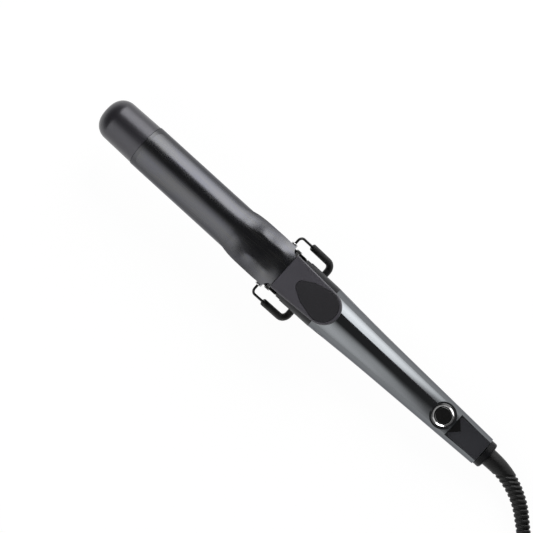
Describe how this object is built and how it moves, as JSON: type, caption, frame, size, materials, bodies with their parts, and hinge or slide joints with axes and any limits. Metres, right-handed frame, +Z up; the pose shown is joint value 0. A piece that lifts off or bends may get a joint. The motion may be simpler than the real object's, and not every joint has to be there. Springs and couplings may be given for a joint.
{
  "type": "curling iron",
  "caption": "Hair curling iron: smooth barrel with sprung clip and thumb lever, fold-out wire stand, tapered handle with power button, swivelling coiled cord and flat plug.",
  "frame": {"origin": "on the floor under the middle of the iron's length, cord left out", "axes": "+X from tip to cord, +Z up, +Y to the left of the tip-to-cord direction"},
  "size_m": [0.5014, 0.0936, 0.052],
  "materials": {
    "satin_black_coat": "satin charcoal coating",
    "tip_plastic": "matte heat resistant plastic",
    "lever_plastic": "fine matte plastic",
    "pad_rubber": "soft matte",
    "collar_plastic": "matte heat resistant plastic",
    "handle_gloss": "high gloss gunmetal lacquer",
    "bright_steel": "bright",
    "stand_black": "black coated",
    "sleeve_rubber": "matte silicone",
    "chrome": "polished",
    "button_black": "gloss black",
    "panel_black": "dark satin gloss",
    "window_dark": "smoked clear",
    "board_green": "solder mask over glass fibre",
    "component_black": "moulded epoxy",
    "capacitor_red": "dipped film",
    "light_clear": "clear tinted",
    "ceramic_white": "fired ceramic",
    "insulation_amber": "polyimide film",
    "spreader_aluminium": "extruded",
    "shield_mica": "pressed mica",
    "lead_fibre": "glass fibre sleeve",
    "swivel_black": "satin",
    "contact_brass": "bright",
    "cord_black": "soft vinyl",
    "tie_black": "soft strap",
    "pin_nickel": "nickel plated brass"
  },
  "bodies": {
    "housing": {"tip_cap": "tip_plastic", "tip_heat_shield": "shield_mica", "barrel": "satin_black_coat", "heater_plate": "ceramic_white", "heater_insulation": "insulation_amber", "upper_heat_spreader": "spreader_aluminium", "lower_heat_spreader": "spreader_aluminium", "temperature_sensor": "ceramic_white", "thermal_fuse": "spreader_aluminium", "heater_leads": "lead_fibre", "front_collar": "collar_plastic", "stand_bushes": "bright_steel", "hinge_bracket": "stand_black", "hinge_pin": "bright_steel", "clip_spring": "bright_steel", "upper_handle_shell": "handle_gloss", "lower_handle_shell": "handle_gloss", "handle_screws": "bright_steel", "button_ring": "chrome", "control_panel": "panel_black", "indicator_window": "window_dark", "circuit_board": "board_green", "board_screws": "bright_steel", "tact_switch": "component_black", "indicator_light": "light_clear", "triac": "component_black", "capacitor": "capacitor_red", "control_chip": "component_black", "contact_springs": "contact_brass"},
    "clip_body": {"clip": "satin_black_coat", "thumb_lever": "lever_plastic", "thumb_pad": "pad_rubber", "lever_screws": "bright_steel"},
    "stand_body": {"stand_wire": "stand_black", "stand_sleeve": "sleeve_rubber"},
    "button_body": {"power_button": "button_black", "switch_plunger": "component_black"},
    "swivel_body": {"swivel_collar": "swivel_black", "swivel_core": "swivel_black", "slip_rings": "contact_brass", "strain_relief": "cord_black", "mains_cord": "cord_black", "cord_coil": "cord_black", "cord_tie": "tie_black", "plug_body": "cord_black", "plug_pins": "pin_nickel"}
  },
  "joints": [
    {"name": "clip_hinge", "type": "hinge", "parent": "housing", "child": "clip_body", "pos_m": [-0.00898, 0, 0.04272], "axis": [0, 1, 0], "range_deg": [0, 13], "stiffness_Nm_per_rad": 0.6, "springref_deg": -20.05, "deforming": ["clip_spring"]},
    {"name": "stand_hinge", "type": "hinge", "parent": "housing", "child": "stand_body", "pos_m": [-0.01745, 0, 0.02429], "axis": [0, 1, 0], "range_deg": [0, 108]},
    {"name": "button_travel", "type": "slide", "parent": "housing", "child": "button_body", "axis": [-0.073, 0, -0.9973], "range_m": [0, 0.0008], "stiffness_N_per_m": 1200, "springref_m": -0.0008},
    {"name": "cord_swivel", "type": "hinge", "parent": "housing", "child": "swivel_body", "pos_m": [0.16825, 0, 0.01069], "axis": [0.9973, 0, -0.073], "continuous": true}
  ]
}
